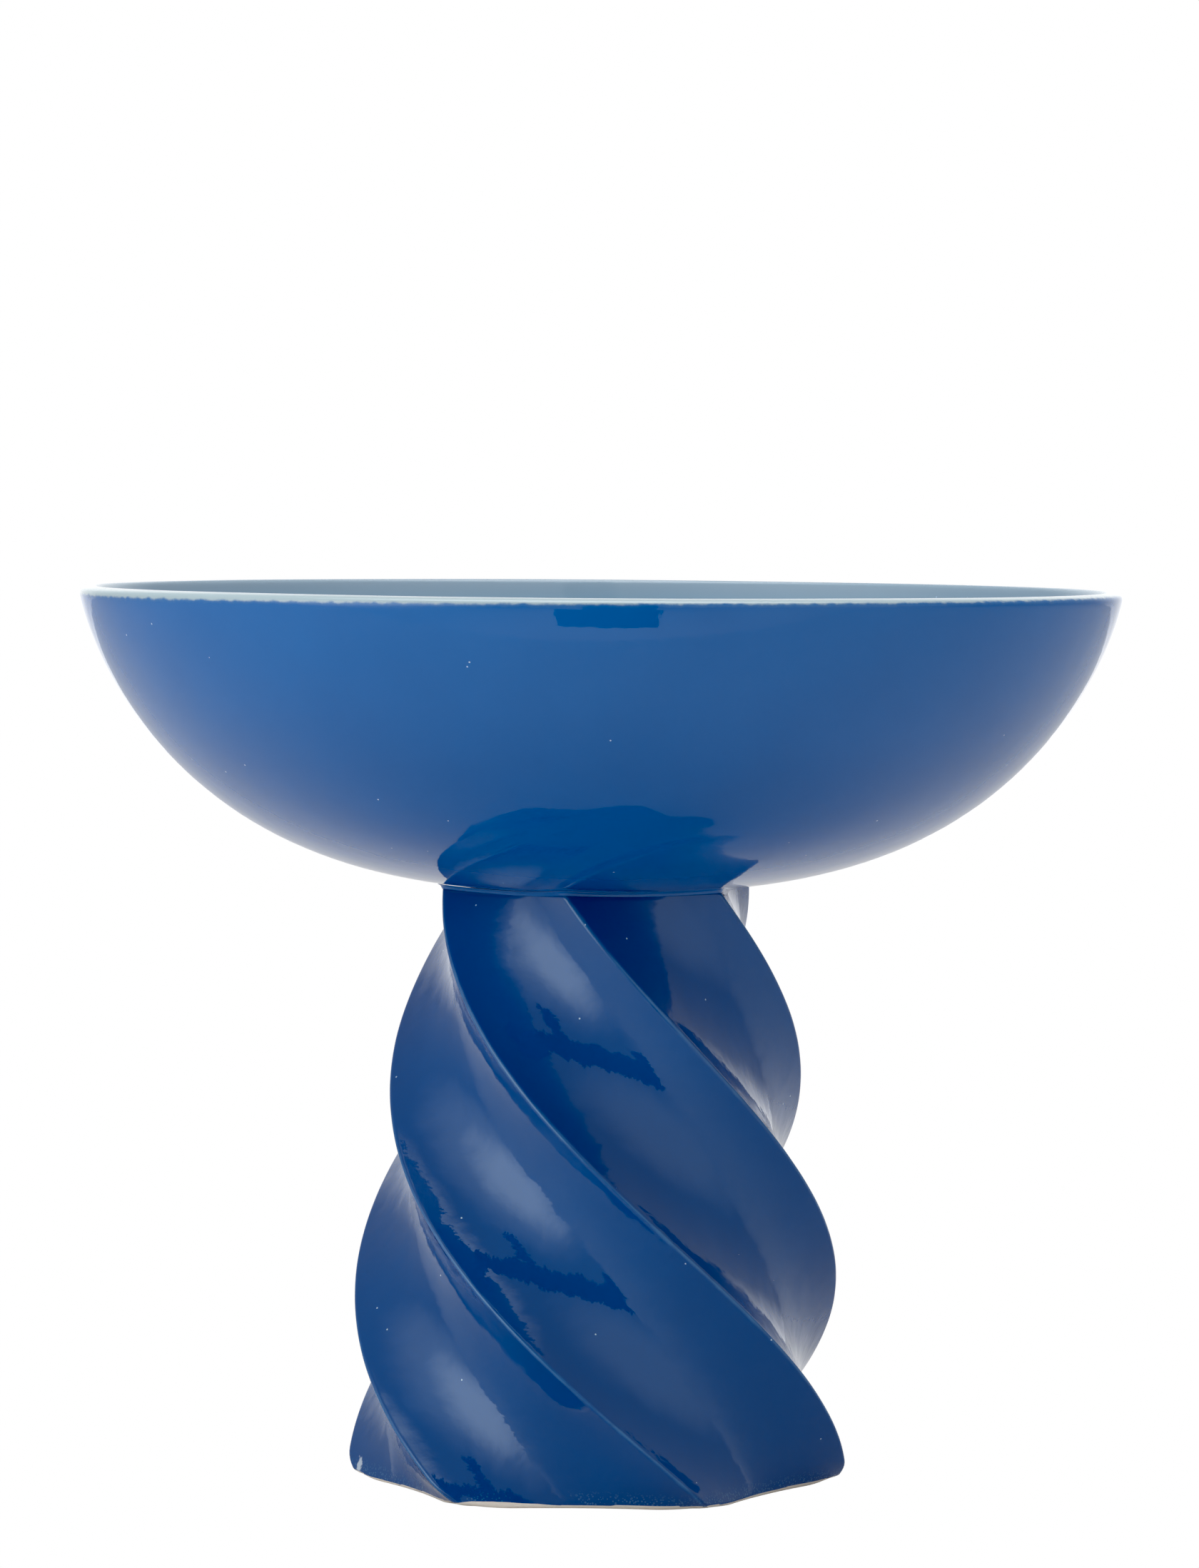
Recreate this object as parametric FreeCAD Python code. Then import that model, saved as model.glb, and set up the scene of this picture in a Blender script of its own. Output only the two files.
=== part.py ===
import FreeCAD, Part
import math
import os

os.makedirs("parts", exist_ok=True)

# Footed bowl: a round shell standing on a hollow six-sided pedestal that twists as it
# rises. The table is z = 0, the axis is Z, and the side that faces the viewer is -Y.
# Lengths are in millimetres and angles in degrees.

# ---- overall sizes ----
overall_height = 215.0          # table to the top of the lip
rim_diameter = 250.0            # across the outside of the lip
bowl_depth = 72.3               # top of the lip to the lowest point of the bowl's underside

# ---- bowl ----
lip_thickness = 4.4             # the lip is a half round of this width
base_thickness = 6.0            # wall at the middle of the bowl
curve_reach = 1.0085            # half-width of the full side curve, as a share of the rim's
curve_flatness = 2.86           # higher numbers flatten the underside near the axis
curve_fullness = 1.57           # lower numbers round the side out sooner under the lip

# ---- pedestal ----
side_count = 6
foot_ridge_radius = 61.1        # axis to a sharp ridge at the table
# The same radius as a share of the foot's, at even steps from the foot up to the neck.
ridge_shares = (1.0, 0.984, 0.909, 0.797, 0.644)
side_hollow = 0.057             # how far each side dips in at its middle, as a share of its width
foot_ridge_angle = -2.8         # where the first ridge meets the table, anticlockwise from +X
twist_angle = 158.3             # how far each ridge winds between neck and foot
mid_lag = 1.0                   # how far a ridge lags an even twist at mid-height, going up
ridge_round = 1.6               # rounding along each ridge
pedestal_wall = 5.5             # across the flats
cavity_round = 4.0              # rounding of the cavity's inside corners
foot_bevel_width = 1.0          # the foot's outside edge, measured inwards
foot_bevel_height = 1.2         # and upwards

# ---- slip that joins the two ----
slip_thickness = 0.8            # between the pedestal's top and the bowl's underside
slip_bead = 0.5                 # how far the slip stands out round the neck

# ---- how finely the curves are drawn ----
curve_points = 28               # along the bowl's profile
sections_per_turn = 60          # loft sections in a full turn of twist
fewest_sections = 4
fit_rounds = 12                 # rounds for the side curve and the lip to settle together

half_side = math.radians(180.0 / side_count)
lip_radius = lip_thickness / 2.0
rim_radius = rim_diameter / 2.0
curve_half_width = curve_reach * rim_radius
underside_height = overall_height - bowl_depth
overrun = base_thickness        # how far cutting shapes run past what they cut


# ---- bowl profile ----
def drop_share(radius):
    """Depth of the side curve at a radius: 1 at the axis, 0 at the curve's full width."""
    return (1.0 - (radius / curve_half_width) ** curve_flatness) ** (1.0 / curve_fullness)


def climb(radius):
    """Slope of that curve at a radius, rising outwards."""
    left_over = 1.0 - (radius / curve_half_width) ** curve_flatness
    rate = curve_flatness * radius ** (curve_flatness - 1.0) / curve_half_width ** curve_flatness
    return left_over ** (1.0 / curve_fullness - 1.0) * rate / curve_fullness


def fit_side_curve():
    """Radius where the side meets the lip, the curve's full depth and its centre height."""
    end_radius, full_depth = rim_radius, bowl_depth
    for _ in range(fit_rounds):
        lean = math.atan2(1.0, full_depth * climb(end_radius))
        end_radius = rim_radius - lip_radius * (1.0 - math.cos(lean))
        end_drop = lip_radius * (1.0 + math.sin(lean))
        full_depth = (bowl_depth - end_drop) / (1.0 - drop_share(end_radius))
    return end_radius, full_depth, underside_height + full_depth


side_end_radius, side_depth, side_centre = fit_side_curve()


def side_point(radius):
    return FreeCAD.Vector(radius, 0.0, side_centre - side_depth * drop_share(radius))


def side_tangent(radius):
    tangent = FreeCAD.Vector(1.0, 0.0, side_depth * climb(radius))
    return tangent.normalize()


def wall_thickness(radius):
    share = (radius / side_end_radius) ** 2
    return base_thickness + (lip_thickness - base_thickness) * share


def inside_point(radius):
    tangent = side_tangent(radius)
    inward = FreeCAD.Vector(-tangent.z, 0.0, tangent.x)
    return side_point(radius) + inward * wall_thickness(radius)


def profile_radii():
    step = math.pi / 2.0 / (curve_points - 1)
    return [side_end_radius * math.sin(i * step) for i in range(curve_points)]


def spline_edge(points, start_tangent, end_tangent):
    curve = Part.BSplineCurve()
    curve.interpolate(Points=points, InitialTangent=start_tangent, FinalTangent=end_tangent)
    return curve.toShape()


def outside_edge(lowered):
    """The bowl's side from the axis to the lip, lowered by a distance."""
    shift = FreeCAD.Vector(0.0, 0.0, -lowered)
    radii = profile_radii()
    outward = FreeCAD.Vector(1.0, 0.0, 0.0)
    return spline_edge([side_point(r) + shift for r in radii], outward,
                       side_tangent(side_end_radius))


def revolve(edges):
    face = Part.Face(Part.Wire(edges))
    return face.revolve(FreeCAD.Vector(0.0, 0.0, 0.0), FreeCAD.Vector(0.0, 0.0, 1.0), 360.0)


def bowl_blank(lowered):
    """Everything above the bowl's underside, lowered by a distance: a cutting shape."""
    side = outside_edge(lowered)
    start, end = side.valueAt(side.FirstParameter), side.valueAt(side.LastParameter)
    top = overall_height + overrun
    corner, centre = FreeCAD.Vector(end.x, 0.0, top), FreeCAD.Vector(0.0, 0.0, top)
    return revolve([side, Part.makeLine(end, corner), Part.makeLine(corner, centre),
                    Part.makeLine(centre, start)])


def make_bowl():
    outside = outside_edge(0.0)
    outside_start = side_point(0.0)
    outside_end = side_point(side_end_radius)
    inside_start = inside_point(0.0)
    inside_end = inside_point(side_end_radius)
    lip_centre = (outside_end + inside_end) * 0.5
    over_lip = side_tangent(side_end_radius) * lip_radius
    lip = Part.Arc(outside_end, lip_centre + over_lip, inside_end).toShape()
    inside = spline_edge([inside_point(r) for r in profile_radii()],
                         FreeCAD.Vector(1.0, 0.0, 0.0), side_tangent(side_end_radius))
    return revolve([outside, lip, inside, Part.makeLine(inside_start, outside_start)])


# ---- pedestal sections ----
neck_ridge_radius = foot_ridge_radius * ridge_shares[-1]
# The pedestal's corners reach the bowl's curved underside a little above its lowest point.
pedestal_height = side_point(neck_ridge_radius).z - slip_thickness


def share_at(height):
    """The ridge radius at a height as a share of the foot's: one smooth curve through them."""
    place = height / pedestal_height * (len(ridge_shares) - 1)
    total = 0.0
    for i, share in enumerate(ridge_shares):
        weight = 1.0
        for j in range(len(ridge_shares)):
            if j != i:
                weight *= (place - j) / (i - j)
        total += share * weight
    return total


def twist_at(height):
    """Angle of the first ridge at a height. It turns clockwise, seen from above, going up."""
    up = height / pedestal_height
    return foot_ridge_angle - twist_angle * up + 4.0 * mid_lag * up * (1.0 - up)


def section_wire(height, inset, rounding):
    """Outline at a height: hollow sides moved inwards by an inset, meeting in rounded ridges."""
    ridge = foot_ridge_radius * share_at(height)
    width = 2.0 * ridge * math.sin(half_side)
    dip = side_hollow * width
    hollow_radius = (width ** 2 / 4.0 + dip ** 2) / (2.0 * dip)
    # Each side curves about a centre that lies outside it, straight out from the axis.
    hollow_centre = ridge * math.cos(half_side) - dip + hollow_radius
    across = hollow_centre * math.sin(half_side)
    along = math.sqrt((hollow_radius + inset + rounding) ** 2 - across ** 2)
    arc_centre = hollow_centre * math.cos(half_side) - along
    arc_lean = math.atan2(across, along)
    first = math.radians(twist_at(height))

    def spot(direction, distance, lean=0.0, reach=0.0):
        return FreeCAD.Vector(distance * math.cos(direction) + reach * math.cos(lean),
                              distance * math.sin(direction) + reach * math.sin(lean), height)

    ridges = []
    for k in range(side_count):
        a = first + 2.0 * half_side * k
        ridges.append([spot(a, arc_centre, a + lean, rounding) for lean in (-arc_lean, 0.0, arc_lean)])
    edges = []
    for k, arc in enumerate(ridges):
        middle = spot(first + half_side * (2 * k + 1), hollow_centre - hollow_radius - inset)
        edges.append(Part.Arc(*arc).toShape())
        edges.append(Part.Arc(arc[-1], middle, ridges[(k + 1) % side_count][0]).toShape())
    return Part.Wire(edges)


def twisted_prism(low, high, inset, rounding):
    turns = abs(twist_angle) / 360.0 * (high - low) / pedestal_height
    sections = max(fewest_sections, math.ceil(sections_per_turn * turns))
    heights = [low + (high - low) * i / sections for i in range(sections + 1)]
    return Part.makeLoft([section_wire(h, inset, rounding) for h in heights], True, False)


def make_foot():
    """The lowest slice, with the bevel round the foot's outside edge."""
    return Part.makeLoft([section_wire(0.0, foot_bevel_width, ridge_round),
                          section_wire(foot_bevel_height, 0.0, ridge_round)], True, True)


neck_top = pedestal_height + overrun
cavity = twisted_prism(-overrun, neck_top + overrun, pedestal_wall, cavity_round)


def make_pedestal():
    body = twisted_prism(foot_bevel_height, neck_top, 0.0, ridge_round)
    body = body.fuse(make_foot())
    return body.cut(cavity).cut(bowl_blank(slip_thickness))


def make_slip():
    """The ring of slip between the pedestal's top and the bowl, with a small outside bead."""
    column = twisted_prism(pedestal_height - overrun, neck_top, -slip_bead, ridge_round + slip_bead)
    return column.common(bowl_blank(slip_thickness)).cut(bowl_blank(0.0)).cut(cavity)


pieces = {"bowl": make_bowl(), "pedestal": make_pedestal(), "joint_slip": make_slip()}

for name, shape in pieces.items():
    solids = Part.makeCompound(shape.Solids) if len(shape.Solids) > 1 else shape.Solids[0]
    solids.exportStep("parts/" + name + ".step")
    box = solids.BoundBox
    print(name, "solids", len(shape.Solids), "valid", solids.isValid(), "volume", round(solids.Volume, 1),
          "x", round(box.XMin, 2), round(box.XMax, 2), "y", round(box.YMin, 2), round(box.YMax, 2),
          "z", round(box.ZMin, 3), round(box.ZMax, 3))
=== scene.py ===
import math
import bmesh
import bpy
from mathutils import Matrix, Vector, noise


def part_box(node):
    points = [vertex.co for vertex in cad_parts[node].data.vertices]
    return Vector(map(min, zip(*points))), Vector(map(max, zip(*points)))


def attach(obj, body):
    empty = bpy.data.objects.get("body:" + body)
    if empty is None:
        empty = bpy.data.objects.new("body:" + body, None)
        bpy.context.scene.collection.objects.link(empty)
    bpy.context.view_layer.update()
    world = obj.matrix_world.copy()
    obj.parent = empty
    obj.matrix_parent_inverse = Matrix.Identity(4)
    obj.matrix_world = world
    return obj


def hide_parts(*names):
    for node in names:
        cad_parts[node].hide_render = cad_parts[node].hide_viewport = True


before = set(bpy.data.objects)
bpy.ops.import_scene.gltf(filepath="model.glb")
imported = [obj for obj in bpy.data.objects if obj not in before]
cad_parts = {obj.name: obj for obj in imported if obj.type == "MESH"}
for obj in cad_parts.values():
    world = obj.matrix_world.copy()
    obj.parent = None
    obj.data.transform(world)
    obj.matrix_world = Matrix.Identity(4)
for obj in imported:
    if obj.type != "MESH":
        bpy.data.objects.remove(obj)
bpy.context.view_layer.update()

# A footed bowl in glossy cobalt glaze: a cast bowl, a hollow twisted pedestal with six hollow
# sides, and the ring of slip that joins them. Lengths are in metres, written in millimetres.
MM = 0.001

# ---- sizes that come from the frame ----
BOWL_LOW, BOWL_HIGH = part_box("bowl")
RIM_RADIUS = BOWL_HIGH.x
LIP_TOP = BOWL_HIGH.z
UNDERSIDE = BOWL_LOW.z
BOWL_DEPTH = LIP_TOP - UNDERSIDE
PEDESTAL_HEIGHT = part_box("pedestal")[1].z

# ---- bowl ----
LIP_THICKNESS = 4.4 * MM
LIP_FULLNESS = 0.6              # 1 is a half round, lower is squarer
BASE_THICKNESS = 6.0 * MM
CURVE_REACH = 1.0085            # half-width of the full side curve, as a share of the rim's
CURVE_FLATNESS = 2.86
CURVE_FULLNESS = 1.57
FIT_ROUNDS = 12                 # rounds for the side curve and the lip to settle together
BOWL_LEAN = math.radians(0.3)   # the rim sits a little lower on the right
BOWL_SHIFT = 0.4 * MM

# ---- pedestal ----
SIDES = 6
HALF_SIDE = math.pi / SIDES
FOOT_RIDGE_RADIUS = 61.1 * MM
RIDGE_SHARES = (1.0, 0.984, 0.909, 0.797, 0.644)
SIDE_HOLLOW = 0.057             # how far each side dips in at its middle, as a share of its width
FOOT_RIDGE_ANGLE = -2.8         # degrees, as the next two are
TWIST_ANGLE = 158.3
MID_LAG = 1.0
RIDGE_ROUND = 1.6 * MM
PEDESTAL_WALL = 5.5 * MM
CAVITY_ROUND = 4.0 * MM
FOOT_BEVEL_WIDTH = 1.0 * MM
FOOT_BEVEL_HEIGHT = 1.2 * MM

# ---- worn corners of the foot ----
FOOT_LIFT = 0.55 * MM           # how far the foot's edge rises at the corners
FOOT_LIFT_REACH = 6.0 * MM
FOOT_CORNER_INSET = 1.7 * MM
FOOT_CORNER_WIDTH = 11.0 * MM   # how far from a ridge the foot's corner reaches

# ---- slip between the two ----
SLIP_THICKNESS = 0.8 * MM
# Its cut face in millimetres: outwards from the pedestal's outline, and up from the pedestal's top.
SLIP_SECTION = (
    (-4.5, 0.0), (-1.5, 0.0), (-0.1, -0.05), (0.12, -0.3), (0.3, -0.1), (0.42, 0.2), (0.6, 0.45),
    (0.9, 0.66), (1.3, 0.78), (1.2, 0.84), (0.2, 0.8), (-2.0, 0.8), (-4.5, 0.8))
SLIP_INNER = -1.0               # further in than this, the section follows the cavity's corners

# ---- unevenness of the ware: (length of a wave, height of a wave) ----
BOWL_WAVES = ((60.0 * MM, 0.10 * MM), (16.0 * MM, 0.012 * MM))
NECK_WAVES = ((9.0 * MM, 0.17 * MM),)  # glaze pooled on the bowl's underside round the neck
NECK_WAVES_REACH = 52.0 * MM
PEDESTAL_WAVES = ((40.0 * MM, 0.14 * MM), (13.0 * MM, 0.05 * MM), (6.0 * MM, 0.016 * MM))

# ---- how finely the meshes are drawn ----
BOWL_SIDE_POINTS = 52
BOWL_LIP_POINTS = 18
BOWL_COLUMNS = 288
PEDESTAL_COLUMNS = SIDES * 54
SLIP_COLUMNS = SIDES * 40
ROUND_SHARE = 0.25              # share of the columns that go round the ridges
FOOT_ROWS = 5
WALL_ROWS = 150
EDGE_ROWS = 4                   # across the wall, at the top and at the foot
CAVITY_ROWS = 40
BOWL_WELD = 0.01 * MM
GRID_WELD = 0.002 * MM

# ---- glaze ----
COBALT = (0.0, 0.120, 0.395, 1.0)
COBALT_DEEP = (0.0, 0.096, 0.32, 1.0)
# painted light: the bowl's side is drawn paler towards the rim, where it faces the light from above
COBALT_PAINTED_LIGHT = (0.006, 0.155, 0.47, 1.0)
PAINTED_LIGHT_REACH = 40.0 * MM          # how far down from the lip the painted light, a paler cobalt, fades out
LIP_COLOUR = (0.43, 0.55, 0.60, 1.0)
LIP_EDGE_COLOUR = (0.035, 0.17, 0.42, 1.0)
LIP_RAGGED = 1.1 * MM           # how far the lip's pale edge wanders up and down
LIP_DRAWN = 20.0 * MM           # the depth over which the two lists below run from 0 to 1
LIP_COLOURS = ((0.0, LIP_COLOUR), (0.045, LIP_COLOUR), (0.07, LIP_EDGE_COLOUR))
LIP_COVER = ((0.0, 1.0), (0.07, 1.0), (0.10, 0.0))
INSIDE_COLOURS = (              # by share of the bowl's depth
    (0.0, (0.34, 0.45, 0.54, 1.0)), (0.06, (0.27, 0.41, 0.52, 1.0)),
    (0.3, (0.22, 0.37, 0.50, 1.0)), (0.85, (0.15, 0.30, 0.47, 1.0)))
PEDESTAL_COBALT = (0.0, 0.088, 0.305, 1.0)
PEDESTAL_DEEP = (0.0, 0.066, 0.24, 1.0)
PEDESTAL_TINT = (0.80, 0.93, 1.0, 1.0)
SLIP_PALE = (0.02, 0.15, 0.4, 1.0)
PINHOLE_COLOUR = (0.45, 0.62, 0.75, 1.0)
PINHOLE_SIZE = 0.027            # as a share of the pinholes' spacing
GLAZE_ROUGHNESS = 0.04
BOWL_IOR = 1.53
PEDESTAL_IOR = 1.62             # the coat lies thicker and glossier on the pedestal
BOWL_PEEL = 0.06 * MM           # heights of the orange peel in the glaze
PEDESTAL_PEEL = 0.20 * MM
SLIP_PEEL = 0.10 * MM
FINE_PEEL_SHARE = 0.3

# ---- ridges and foot ----
CREST_WIDTH = 6.0 * MM          # either side of a ridge
CREST_RAGGED = 0.25
CREST_COVER = ((0.0, 0.0), (0.88, 0.0), (1.0, 0.5))
CREST_COLOUR = (0.05, 0.21, 0.43, 1.0)
BUBBLE_COLOUR = (0.12, 0.33, 0.5, 1.0)
BUBBLE_COVER = ((0.0, 1.0), (0.25, 0.7), (0.5, 0.0))
BUBBLE_SPAN = 9.0 * MM          # the height over which the list above runs from 0 to 1
BUBBLE_SIZE = 0.34
BUBBLE_PATCHES = 0.44           # higher leaves fewer patches of bubbles
BUBBLE_STRENGTH = 0.4
CLAY = (0.95, 0.87, 0.76, 1.0)
DOWNWARD = -0.5                 # a normal lower than this faces the table
GLAZE_STOP_SPAN = 3.0 * MM      # how much the glaze's lower edge wanders
GLAZE_STOP_DROP = 0.8 * MM
FOOT_BARE = (-21.0 * MM, -50.0 * MM, 0.0)  # where the glaze stops a little higher
FOOT_BARE_CORE = 8.0 * MM
FOOT_BARE_REACH = 17.0 * MM
FOOT_BARE_LIFT = 0.9 * MM
FOOT_CRAWL = (-60.0 * MM, 0.0, 6.5 * MM)   # where the glaze has drawn back at a corner
FOOT_CRAWL_SQUASH = (0.9, 0.9, 0.5)
FOOT_CRAWL_SIZE = 4.2 * MM
CRAWL_COVER = ((0.0, 0.2), (0.55, 0.2), (0.68, 0.85), (0.80, 0.85), (0.86, 0.0))
CRAWL_COLOUR = (0.62, 0.72, 0.82, 1.0)

# ---- camera ----
LENS_MM = 153.25
SENSOR_MM = 36.0
CAMERA_PLACE = (0.014872, -1.6055, 0.24419)
CAMERA_PITCH = math.radians(-2.71807)
CAMERA_PAN = math.radians(-0.51252)
CAMERA_ROLL = math.radians(0.12425)

# ---- studio ----
WHITE = (1.0, 1.0, 1.0, 1.0)
BLACK = (0.0, 0.0, 0.0, 1.0)
# Soft cards: name, glow, degrees round from the front (+ is right), half width, half height,
# degrees above level, distance.
SOFT_CARDS = (
    ("key", 1.5, -50, 0.75, 0.62, 6, 1.25),
    ("key_spread", 0.78, -55, 1.5, 1.2, 12, 1.35),
    ("top", 2.8, 0, 1.2, 1.2, 89, 1.5),
    ("front_right", 0.42, 45, 1.25, 1.1, 8, 1.3),
    ("front_low", 0.5, 0, 1.8, 0.7, -38, 1.2),
    ("back", 0.75, 180, 1.7, 1.3, 8, 1.6))
SOFT_CARD_AIM = 0.12            # the height they face
CARD_CORE = 0.12                # the share of a card's width that glows evenly
CARD_RIM = 0.5
# Dark cards, which stand for openings: name, degrees round, half width, half height, height.
DARK_CARDS = (
    ("front_gap", 4, 0.075, 0.8, 0.68),
    ("front_gap_side", -11, 0.085, 0.05, 0.47),
    ("front_gap_low", 1.6, 0.113, 0.07, -0.065))
DARK_CARD_DISTANCE = 0.60
FLOOR_SIDE = 2.0
FLOOR_FRONT = -0.36
FLOOR_BACK = 2.0
FLOOR_HEIGHT = -0.05 * MM
FLOOR_COLOUR = (0.7, 0.7, 0.7, 1.0)
FLOOR_ROUGHNESS = 0.9
FLOOR_GLOW = 0.04
FLOOR_LEFT = (-0.45, -0.3, 0.0)
FLOOR_LEFT_REACH = 0.7
FLOOR_LEFT_GLOW = 0.05
ROOM_GLOW = 0.42
BLACK_POINTS = (0.012, 0.018, 0.018)


# ==== shape of the bowl ====
def drop_share(radius):
    """Depth of the side curve at a radius: 1 at the axis, 0 at the curve's full width."""
    return (1.0 - (radius / (CURVE_REACH * RIM_RADIUS)) ** CURVE_FLATNESS) ** (1.0 / CURVE_FULLNESS)


def climb(radius):
    """Slope of that curve at a radius, rising outwards."""
    half_width = CURVE_REACH * RIM_RADIUS
    left_over = 1.0 - (radius / half_width) ** CURVE_FLATNESS
    rate = CURVE_FLATNESS * radius ** (CURVE_FLATNESS - 1.0) / half_width ** CURVE_FLATNESS
    return left_over ** (1.0 / CURVE_FULLNESS - 1.0) * rate / CURVE_FULLNESS


def fit_side_curve():
    """Radius where the side meets the lip, and the curve's full depth."""
    lip_radius = LIP_THICKNESS / 2.0
    end_radius, full_depth = RIM_RADIUS, BOWL_DEPTH
    for _ in range(FIT_ROUNDS):
        lean = math.atan2(1.0, full_depth * climb(end_radius))
        end_radius = RIM_RADIUS - lip_radius * (1.0 - math.cos(lean))
        end_drop = lip_radius * (1.0 + math.sin(lean))
        full_depth = (BOWL_DEPTH - end_drop) / (1.0 - drop_share(end_radius))
    return end_radius, full_depth


SIDE_END, SIDE_DEPTH = fit_side_curve()


def side_height(radius):
    """Height of the bowl's outside at a radius."""
    return UNDERSIDE + SIDE_DEPTH * (1.0 - drop_share(radius))


def side_lean(radius):
    """Angle of the bowl's outside at a radius, from level."""
    return math.atan(SIDE_DEPTH * climb(radius))


def inside_place(radius):
    """Point of the inside that faces the outside at a radius: (distance from the axis, height)."""
    wall = BASE_THICKNESS + (LIP_THICKNESS - BASE_THICKNESS) * (radius / SIDE_END) ** 2
    lean = side_lean(radius)
    return radius - wall * math.sin(lean), side_height(radius) + wall * math.cos(lean)


def lip_places(middle):
    """Points over the lip from the outside to the inside, round the middle of the side's end."""
    middle_x, middle_z = middle
    lean = side_lean(SIDE_END)
    places = []
    for i in range(1, BOWL_LIP_POINTS):
        turn = math.pi * i / BOWL_LIP_POINTS
        reach = math.copysign(abs(math.cos(turn)) ** LIP_FULLNESS, math.cos(turn))
        across = reach * LIP_THICKNESS / 2.0
        along = math.sin(turn) ** LIP_FULLNESS * LIP_THICKNESS / 2.0
        places.append((middle_x + across * math.sin(lean) + along * math.cos(lean),
                       middle_z - across * math.cos(lean) + along * math.sin(lean)))
    return places


# ==== shape of the pedestal ====
def ridge_share(height):
    """Ridge radius at a height as a share of the foot's: one smooth curve through the shares."""
    place = height / PEDESTAL_HEIGHT * (len(RIDGE_SHARES) - 1)
    total = 0.0
    for i, share in enumerate(RIDGE_SHARES):
        for j in range(len(RIDGE_SHARES)):
            if j != i:
                share *= (place - j) / (i - j)
        total += share
    return total


def twist_at(height):
    """Angle of the first ridge at a height. It turns clockwise, seen from above, going up."""
    up = height / PEDESTAL_HEIGHT
    return math.radians(FOOT_RIDGE_ANGLE - TWIST_ANGLE * up + 4.0 * MID_LAG * up * (1.0 - up))


def outline_place(share, height, inset, rounding):
    """Point on the pedestal's outline. Share runs from 0 to 1 once round, from the first ridge."""
    ridge = FOOT_RIDGE_RADIUS * ridge_share(height)
    width = 2.0 * ridge * math.sin(HALF_SIDE)
    dip = SIDE_HOLLOW * width
    hollow_radius = (width ** 2 / 4.0 + dip ** 2) / (2.0 * dip)
    hollow_centre = ridge * math.cos(HALF_SIDE) - dip + hollow_radius
    across = hollow_centre * math.sin(HALF_SIDE)
    along = math.sqrt((hollow_radius + inset + rounding) ** 2 - across ** 2)
    arc_centre = hollow_centre * math.cos(HALF_SIDE) - along
    arc_lean = math.atan2(across, along)
    side, place = divmod(share * SIDES + 0.5, 1.0)
    place = 2.0 * place - 1.0
    if abs(place) < ROUND_SHARE:
        lean = arc_lean * place / ROUND_SHARE
        along_x = arc_centre + rounding * math.cos(lean)
        along_y = rounding * math.sin(lean)
        turn = 0.0
    else:
        hand = math.copysign(1.0, place)
        rest = (1.0 - abs(place)) / (1.0 - ROUND_SHARE)
        swing = (arc_lean - HALF_SIDE) * rest * hand
        radius = hollow_radius + inset
        along_x = hollow_centre - radius * math.cos(swing)
        along_y = -radius * math.sin(swing)
        turn = HALF_SIDE * hand
    angle = twist_at(height) + 2.0 * HALF_SIDE * side + turn
    return Vector((along_x * math.cos(angle) - along_y * math.sin(angle),
                   along_x * math.sin(angle) + along_y * math.cos(angle), height))


def ridge_distance(spot):
    """Distance round the pedestal from a point to the nearest ridge."""
    turn = (math.atan2(spot.y, spot.x) - twist_at(spot.z)) / (2.0 * HALF_SIDE)
    return abs(turn - round(turn)) * 2.0 * HALF_SIDE * spot.xy.length


def foot_corner(spot):
    """1 on a ridge at the table, fading smoothly to 0 along the foot and up the ridge."""
    near = max(0.0, 1.0 - ridge_distance(spot) / FOOT_CORNER_WIDTH)
    return near * near * (3.0 - 2.0 * near) * max(0.0, 1.0 - spot.z / FOOT_LIFT_REACH)


def between(first, last, share):
    return first + (last - first) * share


def pedestal_rows():
    """(height, inset, rounding) of each row: up the outside, in, down the cavity, out at the foot."""
    rows = []
    for i in range(FOOT_ROWS):
        up = i / FOOT_ROWS
        rows.append((FOOT_BEVEL_HEIGHT * up, FOOT_BEVEL_WIDTH * (1.0 - up) ** 2, RIDGE_ROUND))
    for i in range(WALL_ROWS + 1):
        height = between(FOOT_BEVEL_HEIGHT, PEDESTAL_HEIGHT, i / WALL_ROWS)
        rows.append((height, 0.0, RIDGE_ROUND))
    for i in range(1, EDGE_ROWS):
        part = i / EDGE_ROWS
        rows.append((PEDESTAL_HEIGHT, PEDESTAL_WALL * part, between(RIDGE_ROUND, CAVITY_ROUND, part)))
    for i in range(CAVITY_ROWS + 1):
        rows.append((PEDESTAL_HEIGHT * (1.0 - i / CAVITY_ROWS), PEDESTAL_WALL, CAVITY_ROUND))
    for i in range(1, EDGE_ROWS + 1):
        part = 1.0 - i / EDGE_ROWS
        inset = between(FOOT_BEVEL_WIDTH, PEDESTAL_WALL, part)
        rows.append((0.0, inset, between(RIDGE_ROUND, CAVITY_ROUND, part)))
    return rows


# ==== meshes ====
def ruffle(bm, waves, share=lambda spot: 1.0):
    """Moves each point a little along its normal: the unevenness of cast and hand-glazed ware."""
    bm.normal_update()
    moves = []
    for vert in bm.verts:
        swell = sum(depth * noise.noise(vert.co / wave) for wave, depth in waves)
        moves.append(vert.normal * swell * share(vert.co))
    for vert, move in zip(bm.verts, moves):
        vert.co += move


def finish_piece(bm, name, node, material):
    """Turns a bmesh into a smooth-shaded piece that stands for a CAD node."""
    mesh = bpy.data.meshes.new(name)
    bm.to_mesh(mesh)
    bm.free()
    mesh.shade_smooth()
    mesh.materials.append(material)
    piece = bpy.data.objects.new(name, mesh)
    bpy.context.scene.collection.objects.link(piece)
    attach(piece, "root")
    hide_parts(node)


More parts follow.
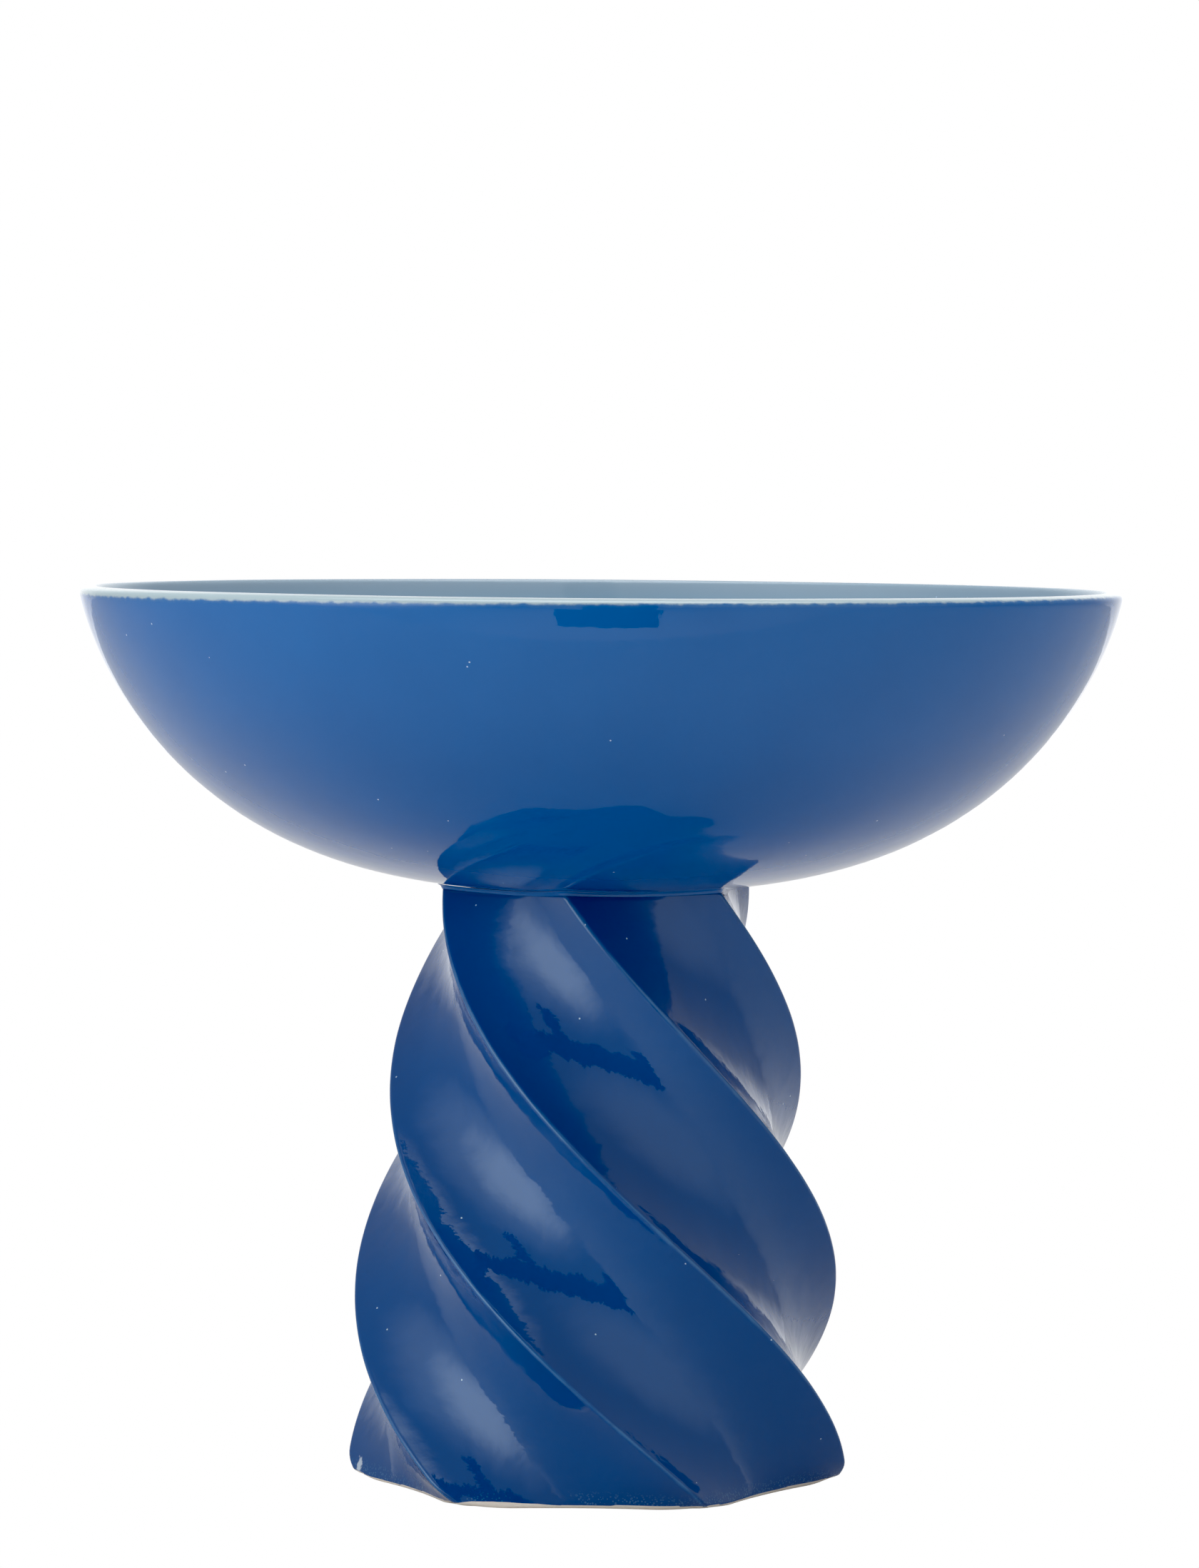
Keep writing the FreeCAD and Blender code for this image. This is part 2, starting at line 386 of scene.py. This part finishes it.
def make_bowl(material):
    step = math.pi / 2.0 / (BOWL_SIDE_POINTS - 1)
    radii = [SIDE_END * math.sin(i * step) for i in range(BOWL_SIDE_POINTS)]
    outside = [(r, side_height(r)) for r in radii]
    inside = [inside_place(r) for r in radii]
    lip_middle = [(outer + inner) / 2.0 for outer, inner in zip(outside[-1], inside[-1])]
    profile = outside + lip_places(lip_middle) + inside[::-1]
    bm = bmesh.new()
    verts = [bm.verts.new((r, 0.0, z)) for r, z in profile]
    edges = [bm.edges.new(pair) for pair in zip(verts, verts[1:])]
    bmesh.ops.spin(bm, geom=verts + edges, cent=(0, 0, 0), axis=(0, 0, 1), angle=2.0 * math.pi,
                   steps=BOWL_COLUMNS, use_merge=True)
    bmesh.ops.remove_doubles(bm, verts=bm.verts, dist=BOWL_WELD)
    bmesh.ops.recalc_face_normals(bm, faces=bm.faces)
    ruffle(bm, BOWL_WAVES)
    ruffle(bm, NECK_WAVES, lambda spot: max(0.0, 1.0 - spot.xy.length / NECK_WAVES_REACH))
    bm.normal_update()
    inside_layer = bm.verts.layers.float.new("inside")
    for vert in bm.verts:
        faces_up = vert.normal.z > 0.0
        vert[inside_layer] = 1.0 if faces_up and vert.co.xy.length < lip_middle[0] else 0.0
    bmesh.ops.rotate(bm, cent=(0, 0, UNDERSIDE), matrix=Matrix.Rotation(BOWL_LEAN, 3, "Y"),
                     verts=bm.verts)
    bmesh.ops.translate(bm, vec=(BOWL_SHIFT, 0, 0), verts=bm.verts)
    finish_piece(bm, "glazed_bowl", "bowl", material)


def wrapped_grid(columns, rows, place):
    """A grid wrapped round and welded along its edges; place gives each point from two shares."""
    bm = bmesh.new()
    bmesh.ops.create_grid(bm, x_segments=columns, y_segments=rows, size=0.5)
    for vert in bm.verts:
        vert.co = place(vert.co.x + 0.5, vert.co.y + 0.5)
    bmesh.ops.remove_doubles(bm, verts=bm.verts, dist=GRID_WELD)
    bmesh.ops.recalc_face_normals(bm, faces=bm.faces)
    return bm


def make_pedestal(material):
    rows = pedestal_rows()

    def place(around, along):
        height, inset, rounding = rows[round(along * (len(rows) - 1))]
        spot = outline_place(around % 1.0, height, inset, rounding)
        # the foot's corners are worn: nothing at the cavity, all of it from the bevel outwards
        outwards = (PEDESTAL_WALL - inset) / (PEDESTAL_WALL - FOOT_BEVEL_WIDTH)
        worn = min(1.0, outwards) * foot_corner(spot)
        if worn > 0.0:
            spot = outline_place(around % 1.0, height, inset + FOOT_CORNER_INSET * worn ** 2, rounding)
            spot.z += FOOT_LIFT * worn
        # the neck follows the bowl's underside, a slip's thickness below it
        spot.z = min(spot.z, side_height(spot.xy.length) - SLIP_THICKNESS)
        return spot

    bm = wrapped_grid(PEDESTAL_COLUMNS, len(rows) - 1, place)
    ridge_layer = bm.verts.layers.float.new("ridge")
    foot_layer = bm.verts.layers.float.new("foot_ring")
    bm.normal_update()
    for vert in bm.verts:
        vert[ridge_layer] = max(0.0, 1.0 - ridge_distance(vert.co) / CREST_WIDTH)
        faces_table = vert.normal.z < DOWNWARD and vert.co.z < FOOT_BEVEL_HEIGHT
        vert[foot_layer] = 1.0 if faces_table else 0.0
    ruffle(bm, PEDESTAL_WAVES)
    for vert in bm.verts:
        vert.co.z = max(vert.co.z, 0.0)
    finish_piece(bm, "glazed_pedestal", "pedestal", material)


def make_joint(material):
    """The ring of slip: thin between the two pieces, with a fillet that runs out on the bowl."""
    def place(around, along):
        out, up = SLIP_SECTION[round(along * len(SLIP_SECTION)) % len(SLIP_SECTION)]
        rounding = CAVITY_ROUND if out < SLIP_INNER else RIDGE_ROUND + max(out, 0.0) * MM
        spot = outline_place(around % 1.0, PEDESTAL_HEIGHT, -out * MM, rounding)
        spot.z = side_height(spot.xy.length) - SLIP_THICKNESS + up * MM
        return spot

    bm = wrapped_grid(SLIP_COLUMNS, len(SLIP_SECTION), place)
    finish_piece(bm, "glazed_joint", "joint_slip", material)


# ==== shader building blocks ====
def put(tree, value, socket):
    """Links an output to a socket, or sets the socket to a plain value."""
    if isinstance(value, bpy.types.NodeSocket):
        tree.links.new(value, socket)
    else:
        socket.default_value = value


def add(tree, kind, inputs=None, **settings):
    """Adds a shader node, sets its settings, and fills or links its inputs."""
    node = tree.nodes.new(kind)
    for name, value in settings.items():
        setattr(node, name, value)
    for socket, value in (inputs or {}).items():
        put(tree, value, node.inputs[socket])
    return node


def new_material(name):
    material = bpy.data.materials.new(name)
    material.use_nodes = True
    return material, material.node_tree, material.node_tree.nodes["Principled BSDF"]


def maths(tree, operation, first, second):
    return add(tree, "ShaderNodeMath", {0: first, 1: second}, operation=operation).outputs[0]


def vectors(tree, operation, first, second=(0.0, 0.0, 0.0)):
    """A vector operation: gives the vector, or the plain value of a length or a distance."""
    node = add(tree, "ShaderNodeVectorMath", {0: first, 1: second}, operation=operation)
    return node.outputs["Value" if operation in ("LENGTH", "DISTANCE") else "Vector"]


def mix_colours(tree, factor, first, second):
    node = add(tree, "ShaderNodeMix", {"Factor": factor}, data_type="RGBA")
    first_colour, second_colour = [s for s in node.inputs if s.type == "RGBA"]
    put(tree, first, first_colour)
    put(tree, second, second_colour)
    return next(s for s in node.outputs if s.type == "RGBA")


def object_place(tree):
    return add(tree, "ShaderNodeTexCoord").outputs["Object"]


def height_of(tree, place):
    return add(tree, "ShaderNodeSeparateXYZ", {"Vector": place}).outputs["Z"]


def own_layer(tree, name):
    """A value that the mesh carries at each of its points."""
    return add(tree, "ShaderNodeAttribute", attribute_name=name).outputs["Fac"]


def noise_at(tree, place, scale, detail):
    """Soft noise from 0 to 1."""
    node = add(tree, "ShaderNodeTexNoise", {"Vector": place, "Scale": scale, "Detail": detail})
    return node.outputs["Fac"]


def wander(tree, place, scale, detail, span):
    """Soft noise that swings either side of nothing, over a span."""
    swing = maths(tree, "SUBTRACT", noise_at(tree, place, scale, detail), 0.5)
    return maths(tree, "MULTIPLY", swing, span)


def cells_at(tree, place, scale):
    """Distance from the middles of scattered cells."""
    return add(tree, "ShaderNodeTexVoronoi", {"Vector": place, "Scale": scale}).outputs["Distance"]


def fade(tree, value, near, far, full, shape="LINEAR"):
    """Full up to the near value, falling to nothing at the far one."""
    limits = {"Value": value, "From Min": near, "From Max": far, "To Min": full, "To Max": 0.0}
    return add(tree, "ShaderNodeMapRange", limits, interpolation_type=shape).outputs["Result"]


def ramp(tree, factor, stops):
    node = add(tree, "ShaderNodeValToRGB", {"Fac": factor})
    elements = node.color_ramp.elements
    while len(elements) < len(stops):
        elements.new(1.0)
    for element, (position, colour) in zip(elements, stops):
        element.position = position
        element.color = colour
    return node.outputs["Color"]


def cover(tree, factor, stops):
    """How much of a layer shows: a ramp of plain levels, from (position, level)."""
    return ramp(tree, factor, [(position, (level, level, level, 1.0)) for position, level in stops])


# ==== glazes ====
def glaze_surface(tree, shader, colour, place, ior, peel_height):
    """The finish that all the glaze shares: pinholes, a faint orange peel, high gloss."""
    pinhole = maths(tree, "LESS_THAN", cells_at(tree, place, scale=120.0), PINHOLE_SIZE)
    put(tree, mix_colours(tree, pinhole, colour, PINHOLE_COLOUR), shader.inputs["Base Color"])
    broad = noise_at(tree, place, scale=110.0, detail=1.0)
    fine = noise_at(tree, place, scale=300.0, detail=3.0)
    waves = add(tree, "ShaderNodeBump", {"Height": broad, "Distance": peel_height, "Strength": 1.0})
    peel = add(tree, "ShaderNodeBump", {"Height": fine, "Distance": peel_height * FINE_PEEL_SHARE,
                                        "Strength": 1.0, "Normal": waves.outputs["Normal"]})
    put(tree, peel.outputs["Normal"], shader.inputs["Normal"])
    shader.inputs["Roughness"].default_value = GLAZE_ROUGHNESS
    shader.inputs["IOR"].default_value = ior


def crawl_mark(tree, place, centre, squash, size):
    """Cover of a small flaw where the glaze has drawn back from a point and left a pale edge."""
    offset = vectors(tree, "MULTIPLY", vectors(tree, "SUBTRACT", place, centre), squash)
    away = vectors(tree, "LENGTH", offset)
    ragged = maths(tree, "ADD", away, wander(tree, place, scale=420.0, detail=2.0, span=0.5 * size))
    return cover(tree, maths(tree, "DIVIDE", ragged, size), CRAWL_COVER)


def bowl_material():
    """Cobalt, a little paler near the rim as painted light, with a pale lip and a much paler inside."""
    material, tree, shader = new_material("cobalt_glaze_bowl")
    place = object_place(tree)
    mottle = noise_at(tree, place, scale=28.0, detail=3.0)
    low = mix_colours(tree, mottle, COBALT_DEEP, COBALT)
    high = mix_colours(tree, mottle, COBALT, COBALT_PAINTED_LIGHT)
    below = maths(tree, "SUBTRACT", LIP_TOP, height_of(tree, place))
    # painted light: the mottled cobalt lightens towards the rim as if lit from above
    painted_light_near_rim = cover(tree, maths(tree, "DIVIDE", below, PAINTED_LIGHT_REACH), ((0.0, 1.0), (1.0, 0.0)))
    side = mix_colours(tree, painted_light_near_rim, low, high)
    ragged = maths(tree, "ADD", below, wander(tree, place, scale=420.0, detail=3.0, span=LIP_RAGGED))
    drawn = maths(tree, "DIVIDE", ragged, LIP_DRAWN)
    outside = mix_colours(tree, cover(tree, drawn, LIP_COVER), side, ramp(tree, drawn, LIP_COLOURS))
    inside = ramp(tree, maths(tree, "DIVIDE", below, BOWL_DEPTH), INSIDE_COLOURS)
    colour = mix_colours(tree, own_layer(tree, "inside"), outside, inside)
    glaze_surface(tree, shader, colour, place, BOWL_IOR, BOWL_PEEL)
    return material


def bubble_cover(tree, place, height):
    """Patches of small bubbles over the glaze's lower edge."""
    bubble = maths(tree, "LESS_THAN", cells_at(tree, place, scale=1500.0), BUBBLE_SIZE)
    low = cover(tree, maths(tree, "DIVIDE", height, BUBBLE_SPAN), BUBBLE_COVER)
    patch = maths(tree, "GREATER_THAN", noise_at(tree, place, scale=45.0, detail=2.0), BUBBLE_PATCHES)
    bubbles = maths(tree, "MULTIPLY", bubble, maths(tree, "MULTIPLY", low, patch))
    return maths(tree, "MULTIPLY", bubbles, BUBBLE_STRENGTH)


def bare_clay_cover(tree, place, height):
    """All of the ring that faces the table, and the edge above it up to where the glaze stops."""
    stop = maths(tree, "MULTIPLY", noise_at(tree, place, scale=22.0, detail=4.0), GLAZE_STOP_SPAN)
    away = vectors(tree, "DISTANCE", place, FOOT_BARE)
    lift = fade(tree, away, FOOT_BARE_CORE, FOOT_BARE_REACH, FOOT_BARE_LIFT)
    stop = maths(tree, "SUBTRACT", maths(tree, "ADD", stop, lift), GLAZE_STOP_DROP)
    ring = maths(tree, "GREATER_THAN", own_layer(tree, "foot_ring"), 0.5)
    return maths(tree, "MAXIMUM", ring, maths(tree, "LESS_THAN", height, stop))


def pedestal_material():
    """Deep cobalt that thins on the ridges and stops just above the foot."""
    material, tree, shader = new_material("cobalt_glaze_pedestal")
    place = object_place(tree)
    height = height_of(tree, place)
    mottle = noise_at(tree, place, scale=30.0, detail=3.0)
    colour = mix_colours(tree, mottle, PEDESTAL_DEEP, PEDESTAL_COBALT)
    ragged = wander(tree, place, scale=180.0, detail=4.0, span=CREST_RAGGED)
    crest = cover(tree, maths(tree, "ADD", own_layer(tree, "ridge"), ragged), CREST_COVER)
    colour = mix_colours(tree, crest, colour, CREST_COLOUR)
    colour = mix_colours(tree, bubble_cover(tree, place, height), colour, BUBBLE_COLOUR)
    colour = mix_colours(tree, bare_clay_cover(tree, place, height), colour, CLAY)
    crawl = crawl_mark(tree, place, FOOT_CRAWL, FOOT_CRAWL_SQUASH, FOOT_CRAWL_SIZE)
    colour = mix_colours(tree, crawl, colour, CRAWL_COLOUR)
    glaze_surface(tree, shader, colour, place, PEDESTAL_IOR, PEDESTAL_PEEL)
    shader.inputs["Specular Tint"].default_value = PEDESTAL_TINT
    return material


def joint_material():
    material, tree, shader = new_material("cobalt_glaze_joint")
    place = object_place(tree)
    mottle = noise_at(tree, place, scale=90.0, detail=3.0)
    colour = mix_colours(tree, mottle, COBALT_DEEP, SLIP_PALE)
    glaze_surface(tree, shader, colour, place, PEDESTAL_IOR, SLIP_PEEL)
    return material


# ==== camera, table and studio ====
def make_camera():
    data = bpy.data.cameras.new("camera")
    data.sensor_fit = "VERTICAL"
    data.sensor_height = SENSOR_MM
    data.sensor_width = SENSOR_MM
    data.lens = LENS_MM
    camera = bpy.data.objects.new("camera", data)
    look = Vector((math.sin(CAMERA_PAN) * math.cos(CAMERA_PITCH),
                   math.cos(CAMERA_PAN) * math.cos(CAMERA_PITCH), math.sin(CAMERA_PITCH)))
    roll = Matrix.Rotation(CAMERA_ROLL, 4, "Z").to_quaternion()
    camera.location = CAMERA_PLACE
    camera.rotation_mode = "QUATERNION"
    camera.rotation_quaternion = look.to_track_quat("-Z", "Y") @ roll
    bpy.context.scene.collection.objects.link(camera)
    bpy.context.scene.camera = camera


def show_surface(tree, shader):
    put(tree, shader.outputs[0], tree.nodes["Material Output"].inputs["Surface"])


def glow_material(name, level):
    """A glow that adds to what is behind it and fades out from the card's middle to its rim."""
    material, tree, _ = new_material(name)
    place = add(tree, "ShaderNodeTexCoord").outputs["UV"]
    away = vectors(tree, "LENGTH", vectors(tree, "SUBTRACT", place, (0.5, 0.5, 0.0)))
    strength = fade(tree, away, CARD_CORE, CARD_RIM, level, shape="SMOOTHSTEP")
    glow = add(tree, "ShaderNodeEmission", {"Strength": strength})
    clear = add(tree, "ShaderNodeBsdfTransparent")
    show_surface(tree, add(tree, "ShaderNodeAddShader", {0: glow.outputs[0], 1: clear.outputs[0]}))
    return material


def black_material():
    material, _, shader = new_material("dark_opening")
    shader.inputs["Base Color"].default_value = BLACK
    shader.inputs["Specular IOR Level"].default_value = 0.0
    return material


def stage_mesh(bm, name, material):
    """Turns a bmesh into a thing of the studio, which is not part of the bowl."""
    mesh = bpy.data.meshes.new(name)
    bm.to_mesh(mesh)
    bm.free()
    mesh.materials.append(material)
    thing = bpy.data.objects.new(name, mesh)
    bpy.context.scene.collection.objects.link(thing)
    return thing


def make_card(name, material, azimuth, half_width, half_height, rise, distance, aim):
    """A flat card seen only in reflections. It faces the axis at the height of its aim."""
    around, up = math.radians(azimuth), math.radians(rise)
    away = Vector((math.sin(around) * math.cos(up), -math.cos(around) * math.cos(up), math.sin(up)))
    sideways = Vector((math.cos(around), math.sin(around), 0.0))
    upwards = sideways.cross(-away).normalized()
    centre = away * distance + Vector((0.0, 0.0, aim))
    bm = bmesh.new()
    bmesh.ops.create_grid(bm, x_segments=1, y_segments=1, size=1.0, calc_uvs=True)
    uv = bm.loops.layers.uv.verify()
    for face in bm.faces:
        for loop in face.loops:
            loop[uv].uv = (loop.vert.co.xy + Vector((1.0, 1.0))) / 2.0
    for vert in bm.verts:
        vert.co = centre + sideways * half_width * vert.co.x + upwards * half_height * vert.co.y
    stage_mesh(bm, name, material).visible_camera = False


def make_cards():
    for name, level, azimuth, half_width, half_height, rise, distance in SOFT_CARDS:
        make_card(name + "_card", glow_material(name + "_glow", level), azimuth, half_width,
                  half_height, rise, distance, SOFT_CARD_AIM)
    black = black_material()
    for name, azimuth, half_width, half_height, height in DARK_CARDS:
        make_card(name, black, azimuth, half_width, half_height, 0.0, DARK_CARD_DISTANCE, height)


def table_material():
    """Plain white to look at; in the glaze it is a lit table, brighter towards the left."""
    material, tree, shader = new_material("pale_table")
    shader.inputs["Base Color"].default_value = FLOOR_COLOUR
    shader.inputs["Roughness"].default_value = FLOOR_ROUGHNESS
    shader.inputs["Specular IOR Level"].default_value = 0.0
    away = vectors(tree, "DISTANCE", object_place(tree), FLOOR_LEFT)
    spot = fade(tree, away, 0.0, FLOOR_LEFT_REACH, FLOOR_LEFT_GLOW, shape="SMOOTHSTEP")
    glow = add(tree, "ShaderNodeEmission", {"Strength": maths(tree, "ADD", spot, FLOOR_GLOW)})
    lit = add(tree, "ShaderNodeAddShader", {0: shader.outputs[0], 1: glow.outputs[0]})
    white = add(tree, "ShaderNodeEmission", {"Strength": 1.0})
    seen = add(tree, "ShaderNodeLightPath").outputs["Is Camera Ray"]
    show_surface(tree, add(tree, "ShaderNodeMixShader", {0: seen, 1: lit.outputs[0], 2: white.outputs[0]}))
    return material


def make_floor():
    bm = bmesh.new()
    bmesh.ops.create_grid(bm, x_segments=1, y_segments=1, size=0.5)
    for vert in bm.verts:
        vert.co = (2.0 * FLOOR_SIDE * vert.co.x, between(FLOOR_FRONT, FLOOR_BACK, vert.co.y + 0.5),
                   FLOOR_HEIGHT)
    stage_mesh(bm, "floor", table_material())


def make_world():
    """White to look at; in the glaze, a softly lit room."""
    world = bpy.data.worlds.new("studio")
    bpy.context.scene.world = world
    world.use_nodes = True
    tree = world.node_tree
    seen = add(tree, "ShaderNodeLightPath").outputs["Is Camera Ray"]
    strength = add(tree, "ShaderNodeMix", {"Factor": seen, "A": ROOM_GLOW, "B": 1.0}).outputs[0]
    background = tree.nodes["Background"]
    put(tree, strength, background.inputs["Strength"])
    background.inputs["Color"].default_value = WHITE


def set_view():
    """A plain view with slightly deeper blacks."""
    view = bpy.context.scene.view_settings
    view.view_transform = "Standard"
    view.use_curve_mapping = True
    view.curve_mapping.black_level = BLACK_POINTS
    view.curve_mapping.update()


make_camera()
make_bowl(bowl_material())
make_pedestal(pedestal_material())
make_joint(joint_material())
make_floor()
make_world()
make_cards()
set_view()
